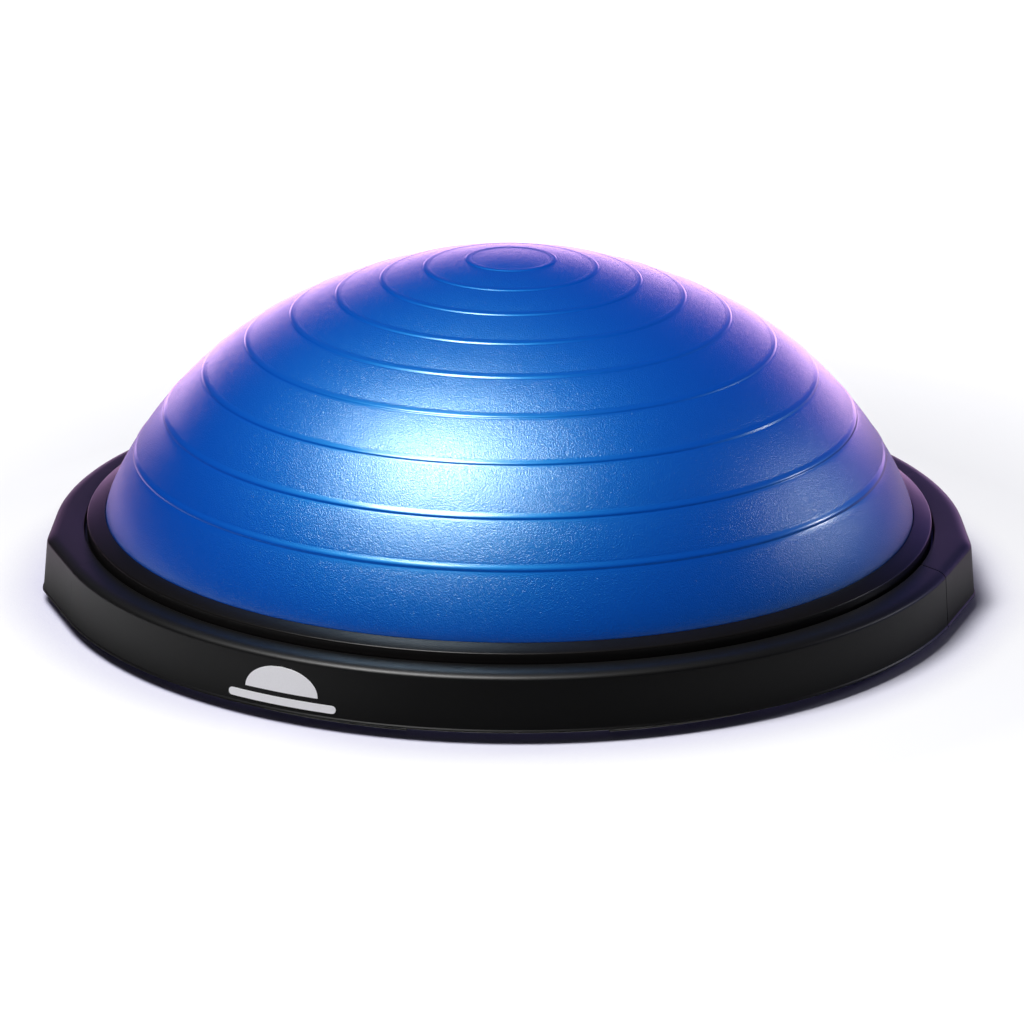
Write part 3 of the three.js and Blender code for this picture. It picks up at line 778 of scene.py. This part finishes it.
def build_pads():
    pads = []
    for i, degrees in enumerate(PAD_ANGLES):
        angles = sector_angles(degrees, PAD_HALF_ANGLE, 40)
        pad = swept(f"foot_rubber_{i + 1:02d}", pad_section(), angles, full_turn=False)
        smooth(pad, 30)
        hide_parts(f"foot_pad_{i + 1:02d}")
        pads.append(pad)
    return pads


def screw_places():
    """Where the underside's screws sit: (CAD node, x, y)."""
    places = []
    for kind, count in (("base_screw", 8), ("cap_screw", 4)):
        for i in range(count):
            node = f"{kind}_{i + 1:02d}"
            low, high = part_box(node)
            places.append((node, (low.x + high.x) / 2, (low.y + high.y) / 2))
    return places


def disc_at(name, radius, x, y, bottom, top, steps=32):
    ring = [(x + radius * math.cos(a), y + radius * math.sin(a)) for a in circle_angles(steps)]
    return prism(name, ring, bottom, top)


def build_base():
    """The base plate with its handle pockets, pad seats and screw seats."""
    plate = swept("base_plate", underside_profile(), circle_angles(360), outline)
    bottom, roof = PLATE_LOW.z, PLATE_HIGH.z
    outer = rounded_rectangle((POCKET_NEAR - BASE_WALL, -POCKET_HALF - BASE_WALL),
                              (POCKET_FAR + BASE_WALL, POCKET_HALF + BASE_WALL),
                              POCKET_ROUNDING + BASE_WALL)
    inner = rounded_rectangle((POCKET_NEAR, -POCKET_HALF), (POCKET_FAR, POCKET_HALF), POCKET_ROUNDING)
    box = prism("pocket_box", outer, 8 * MM, roof)
    hollow = prism("pocket_hollow", inner, -5 * MM, roof - BASE_WALL)
    for turn in (0, math.pi):
        turned = [turned_copy(box, "turned_box", turn), turned_copy(hollow, "turned_hollow", turn)]
        boolean(plate, turned[0], "UNION")
        boolean(plate, turned[1], "DIFFERENCE")
        discard(*turned)
    inner, outer, depth = PAD_INNER - 0.3 * MM, PAD_OUTER + 0.3 * MM, bottom + MM
    seat = [(inner, 0), (outer, 0), (outer, depth), (inner, depth)]
    sinks = [swept("sink", seat, sector_angles(degrees, PAD_HALF_ANGLE + 0.1, 24), full_turn=False)
             for degrees in PAD_ANGLES]
    for _, x, y in screw_places():
        sinks.append(disc_at("sink", SCREW_SINK_RADIUS, x, y, 0, bottom + SCREW_SINK_DEPTH))
    cutter = joined("cutter", sinks)
    boolean(plate, cutter, "DIFFERENCE")
    discard(box, hollow, cutter)
    bevel(plate, 0.45 * MM, 2, 50)
    smooth(plate, 32)
    even_shading(plate)
    return plate


def build_screws():
    """Pan-head screws with a cross recess, one mesh shared by all of them."""
    low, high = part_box("base_screw_01")
    head_radius, shank_radius = 3.85 * MM, 1.7 * MM
    bottom, under_head, tip = low.z, low.z + 1.6 * MM, high.z - 6 * MM
    screw = lathe("screw_shape", rounded_profile([
        (0.0, bottom, 0), (head_radius, bottom, 0.9 * MM), (head_radius, under_head, 0),
        (shank_radius, under_head, 0), (shank_radius, tip, 0), (0.0, tip, 0),
    ]), 48)
    slot_half, slot_depth, reach = 0.5 * MM, 1.1 * MM, 2.2 * MM
    arms = [prism("arm", [(-a, -b), (a, -b), (a, b), (-a, b)], bottom - MM, bottom + slot_depth)
            for a, b in ((reach, slot_half), (slot_half, reach))]
    for arm in arms:
        boolean(screw, arm, "DIFFERENCE")
    smooth(screw, 30)
    made = []
    for index, (node, x, y) in enumerate(screw_places()):
        twin = turned_copy(screw, node.replace("screw", "bolt"), index * SCREW_TURN)
        for vertex in twin.data.vertices:
            vertex.co += Vector((x, y, 0))
        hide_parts(node)
        made.append(twin)
    discard(screw, *arms)
    return made


def grip_outline():
    """The grip seen from above: flat back, four finger hollows in front."""
    hollow, pitch, steps = 16 * MM, 24 * MM, 160
    face = GRIP_HIGH.x
    depth_at_hollow, thickest, end_length, end_share = 2.4 * MM, 6 * MM, 4 * MM, 0.35
    front = []
    for step in range(steps + 1):
        y = GRIP_LOW.y + (GRIP_HIGH.y - GRIP_LOW.y) * step / steps
        nearest = min(abs(y - k * pitch) for k in (-1.5, -0.5, 0.5, 1.5))
        reach = depth_at_hollow + hollow - math.sqrt(max(0, hollow ** 2 - nearest ** 2))
        ends = min(1, (GRIP_HIGH.y - abs(y)) / end_length)
        thick = min(reach, thickest) * (end_share + (1 - end_share) * math.sqrt(max(0, ends)))
        front.append((face - thick, y))
    return front + [(face, GRIP_HIGH.y), (face, GRIP_LOW.y)]


def build_grips():
    right = prism("hand_grip_right", grip_outline(), GRIP_LOW.z, GRIP_HIGH.z)
    bevel(right, 0.9 * MM, 3, 50)
    smooth(right, 40)
    return right, turned_copy(right, "hand_grip_left", math.pi)


# ------------------------------------------------------------------ valve

def build_plug():
    """The pull-out plug: a head with a groove in its face and one round its side, and a tapered stem."""
    bottom, top = PLUG_LOW.z, PLUG_HIGH.z
    head, stem, tip, waist = 10 * MM, 5 * MM, 4 * MM, 9 * MM
    head_top = 21.7 * MM
    corners = [
        (0, bottom, 0), (6.2 * MM, bottom, 0), (6.6 * MM, bottom + 0.5 * MM, 0.2 * MM),
        (7.2 * MM, bottom + 0.5 * MM, 0), (7.6 * MM, bottom, 0.2 * MM),
        (head, bottom, 0.9 * MM), (head, bottom + 2.4 * MM, 0.5 * MM),
        (waist, bottom + 3 * MM, 0.3 * MM), (waist, bottom + 4 * MM, 0.3 * MM),
        (head, bottom + 4.6 * MM, 0.4 * MM), (head, head_top, 0.3 * MM),
        (stem, head_top, 0.2 * MM), (stem, top - 4 * MM, 0.6 * MM), (tip, top, 0.6 * MM), (0, top, 0),
    ]
    plug = lathe("plug_body", rounded_profile(corners), 96)
    smooth(plug, 40)
    return plug


def build_seat():
    """The rubber grommet: a neck through the deck and a flange above it."""
    bottom, foot, top = SEAT_LOW.z, 43.5 * MM, SEAT_HIGH.z
    bore, neck, flange = 5.3 * MM, 9 * MM, 18 * MM
    seat = lathe("valve_grommet", rounded_profile([
        (bore, bottom, 0.4 * MM), (neck, bottom, 0.8 * MM), (neck, foot, 0),
        (flange, foot, 0), (flange, top, 1.2 * MM), (bore, top, 0.4 * MM),
    ]), 96)
    smooth(seat, 40)
    return seat


# ------------------------------------------------------------------ mark on the wall

MARK_ANGLE = math.radians(242.5)
MARK_PROUD = 0.35 * MM
MARK_BACK = 0.05 * MM


def on_wall(across, height, proud):
    """A point on the front wall, across metres round from the mark's middle."""
    radius = PLATFORM_RADIUS - wall_inset(height) + proud
    angle = MARK_ANGLE + across / PLATFORM_RADIUS
    return (radius * math.cos(angle), radius * math.sin(angle), height)


def wall_print(name, half_width_at, bottom, top, rows=24, columns=48):
    """A thin print on the wall, its half width given by height."""
    levels = [bottom + (top - bottom) * row / rows for row in range(rows + 1)]
    points = []
    for proud in (MARK_PROUD, MARK_BACK):
        for level in levels:
            half = max(half_width_at(level), 0.05 * MM)
            for column in range(columns + 1):
                points.append(on_wall(half * (2 * column / columns - 1), level, proud))
    width = columns + 1
    layer = width * (rows + 1)
    faces = []
    for row in range(rows):
        for column in range(columns):
            a = row * width + column
            faces.append([a, a + 1, a + 1 + width, a + width])
            faces.append([layer + a, layer + a + width, layer + a + 1 + width, layer + a + 1])
    rim = list(range(columns))
    rim += [row * width + columns for row in range(rows)]
    rim += [rows * width + column for column in range(columns, 0, -1)]
    rim += [row * width for row in range(rows, 0, -1)]
    for i, a in enumerate(rim):
        b = rim[(i + 1) % len(rim)]
        faces.append([a, layer + a, layer + b, b])
    thing = mesh_object(name, points, faces)
    smooth(thing, 40)
    return thing


def build_mark():
    """A generic sign: half an ellipse over a bar with round ends."""
    foot, height, half = 21 * MM, 17 * MM, 27 * MM
    dome = wall_print("mark_arch", lambda z: half * math.sqrt(max(0, 1 - ((z - foot) / height) ** 2)),
                      foot, foot + height)
    middle, radius, bar_half = 15 * MM, 2.6 * MM, 40 * MM
    bar = wall_print("mark_line",
                     lambda z: bar_half - radius + math.sqrt(max(0, radius ** 2 - (z - middle) ** 2)),
                     middle - radius, middle + radius)
    return dome, bar


# ------------------------------------------------------------------ finishing each piece

def finish_piece(thing, material, slot, body, *nodes):
    """Gives a piece its material and body, and hides the CAD nodes that it stands for."""
    thing.data.materials.clear()
    thing.data.materials.append(material)
    if nodes:
        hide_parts(*nodes)
    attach(thing, body)


def paint_node(name, material):
    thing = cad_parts[name]
    thing.data.materials.clear()
    thing.data.materials.append(material)


def build_object():
    pvc = blue_pvc()
    ring_black = moulded_black("ring_black", (0.005, 0.0045, 0.0045), 0.25, 0.33, 0.06 * MM, gloss=0.2)
    shell_black = moulded_black("platform_black", (0.003, 0.003, 0.0032), 0.36, 0.44, 0.06 * MM)
    base_black = moulded_black("base_black", (0.004, 0.004, 0.0045), 0.48, 0.6, 0.18 * MM, 700)
    rubber, steel = black_rubber(), zinc_steel()

    finish_piece(build_dome(), pvc, "dome_pvc", "platform", "dome_bladder")
    finish_piece(build_ring(), ring_black, "ring_plastic", "platform", "clamp_ring")
    shell, cap_right, cap_left = build_platform()
    finish_piece(shell, shell_black, "platform_plastic", "platform", "platform_deck")
    finish_piece(cap_right, shell_black, "platform_plastic", "platform", "end_cap_right")
    finish_piece(cap_left, shell_black, "platform_plastic", "platform", "end_cap_left")
    finish_piece(build_base(), base_black, "base_plastic", "platform", "platform_base")
    for pad in build_pads():
        finish_piece(pad, rubber, "grip_rubber", "platform")
    for bolt in build_screws():
        finish_piece(bolt, steel, "screw_steel", "platform")
    grip_right, grip_left = build_grips()
    finish_piece(grip_right, rubber, "grip_rubber", "platform", "handle_grip_right")
    finish_piece(grip_left, rubber, "grip_rubber", "platform", "handle_grip_left")
    finish_piece(build_seat(), rubber, "valve_rubber", "platform", "valve_seat")
    finish_piece(build_plug(), pale_plug(), "plug_plastic", "valve_plug", "valve_plug")
    arch, line = build_mark()
    printed = mark_print()
    finish_piece(arch, printed, "mark_paint", "platform", "mark_dome")
    finish_piece(line, printed, "mark_paint", "platform", "mark_bar")

    paint_node("valve_nut", base_black)
    paint_node("bladder_floor", membrane_sheet())
    for i in range(12):
        paint_node(f"clamp_screw_{i + 1:02d}", steel)


def press_dome():
    """Gives the dome's skin a mesh of its own."""
    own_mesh(bpy.data.objects["dome_skin"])


# ------------------------------------------------------------------ studio

SUN_DIRECTION = (0.28, 0.05, -0.96)
SOFTBOXES = (   # name, place, target, width and height, watts, seen in reflections
    ("key_softbox", (-0.57, -0.65, 2.03), (-0.04, -0.2, 0.15), (0.9, 0.9), 41, True),
    ("front_softbox", (-0.6, -2.4, 0.35), (0, -0.3, 0.02), (1.2, 0.4), 6, False),
    ("under_softbox", (0, 0.05, -1.1), (0, 0, 0), (0.5, 0.5), 14, True),
    ("side_softbox", (2.38, 0.67, 1.05), (0.2, -0.15, 0.1), (0.28, 0.28), 5.5, True),
)
STUDIO_DARK = (0.006, 0.006, 0.008)
VIOLET = (0.05, 0.07, 0.5)
LAVENDER_GLOW = (2.3, 1.25, 2.5)
BACKDROP = (0.93, 0.93, 0.95)
FLOOR_HALF = 30.0


def softbox(name, place, target, size, power, mirrored):
    lamp = bpy.data.lights.new(name, "AREA")
    lamp.shape = "RECTANGLE"
    lamp.size, lamp.size_y = size
    lamp.energy = power
    thing = bpy.data.objects.new(name, lamp)
    bpy.context.scene.collection.objects.link(thing)
    thing.location = place
    thing.rotation_euler = (Vector(target) - Vector(place)).to_track_quat("-Z", "Y").to_euler()
    thing.visible_glossy = mirrored


def build_floor():
    signs = ((-1, -1), (1, -1), (1, 1), (-1, 1))
    floor = mesh_object("studio_floor", [(x * FLOOR_HALF, y * FLOOR_HALF, 0) for x, y in signs],
                        [[0, 1, 2, 3]])
    floor.data.materials.append(pale_floor())


def build_world():
    """Dark studio with a lavender glow low behind the object and violet above it, pale where it is seen."""
    world = bpy.data.worlds.new("studio")
    world.use_nodes = True
    tree = world.node_tree
    background = tree.nodes["Background"]

    def ramp(value, start, end):
        node = tree.nodes.new("ShaderNodeMapRange")
        node.interpolation_type = "SMOOTHSTEP"
        tree.links.new(value, node.inputs["Value"])
        node.inputs["From Min"].default_value = start
        node.inputs["From Max"].default_value = end
        return node.outputs["Result"]

    def product(a, b):
        node = tree.nodes.new("ShaderNodeMath")
        node.operation = "MULTIPLY"
        tree.links.new(a, node.inputs[0])
        tree.links.new(b, node.inputs[1])
        return node.outputs[0]

    def layer(below, colour, share):
        node = tree.nodes.new("ShaderNodeMix")
        node.data_type = "RGBA"
        tree.links.new(share, node.inputs["Factor"])
        for value, socket in ((below, node.inputs["A"]), (colour, node.inputs["B"])):
            if isinstance(value, tuple):
                socket.default_value = (*value, 1)
            else:
                tree.links.new(value, socket)
        return node.outputs["Result"]

    direction = tree.nodes.new("ShaderNodeTexCoord").outputs["Generated"]
    split = tree.nodes.new("ShaderNodeSeparateXYZ")
    tree.links.new(direction, split.inputs[0])
    x, y, z = split.outputs
    violet = product(product(ramp(y, -0.1, 0.5), ramp(x, -0.6, 0.4)), ramp(z, 0.6, 0.25))
    narrow = product(ramp(x, -0.5, -0.1), ramp(x, 0.8, 0.3))
    glow = product(product(ramp(y, 0.25, 0.75), narrow), ramp(z, 0.22, 0.0))
    sky = layer(STUDIO_DARK, VIOLET, violet)
    sky = layer(sky, LAVENDER_GLOW, glow)
    sky = layer((0.0, 0.0, 0.0), sky, ramp(z, -0.05, 0.0))
    seen = tree.nodes.new("ShaderNodeLightPath").outputs["Is Camera Ray"]
    sky = layer(sky, BACKDROP, seen)
    tree.links.new(sky, background.inputs["Color"])
    bpy.context.scene.world = world


def build_lights():
    lamp = bpy.data.lights.new("overhead_sun", "SUN")
    lamp.energy = 1.5
    lamp.angle = math.radians(24)
    above = bpy.data.objects.new("overhead_sun", lamp)
    bpy.context.scene.collection.objects.link(above)
    above.rotation_euler = Vector(SUN_DIRECTION).to_track_quat("-Z", "Y").to_euler()
    for box in SOFTBOXES:
        softbox(*box)


# The photo's camera, found by fitting the dome's ribs and the platform's edge.
CAMERA_PLACE = (0, -3.3544, 1.1808)
CAMERA_PITCH = 18.638       # degrees down
CAMERA_ROLL = 0.35
CAMERA_LENS = 178.86        # millimetres, on a sensor 36 mm wide
CAMERA_SHIFT = 0.0025


def build_camera():
    lens = bpy.data.cameras.new("camera")
    lens.lens = CAMERA_LENS
    lens.sensor_width = 36
    lens.shift_x = CAMERA_SHIFT
    camera = bpy.data.objects.new("camera", lens)
    bpy.context.scene.collection.objects.link(camera)
    camera.location = CAMERA_PLACE
    camera.rotation_euler = (math.radians(90 - CAMERA_PITCH), 0, 0)
    camera.rotation_euler.rotate_axis("Z", math.radians(CAMERA_ROLL))
    bpy.context.scene.camera = camera


build_object()
press_dome()
build_floor()
build_world()
build_lights()
build_camera()
bpy.context.scene.view_settings.view_transform = "Standard"
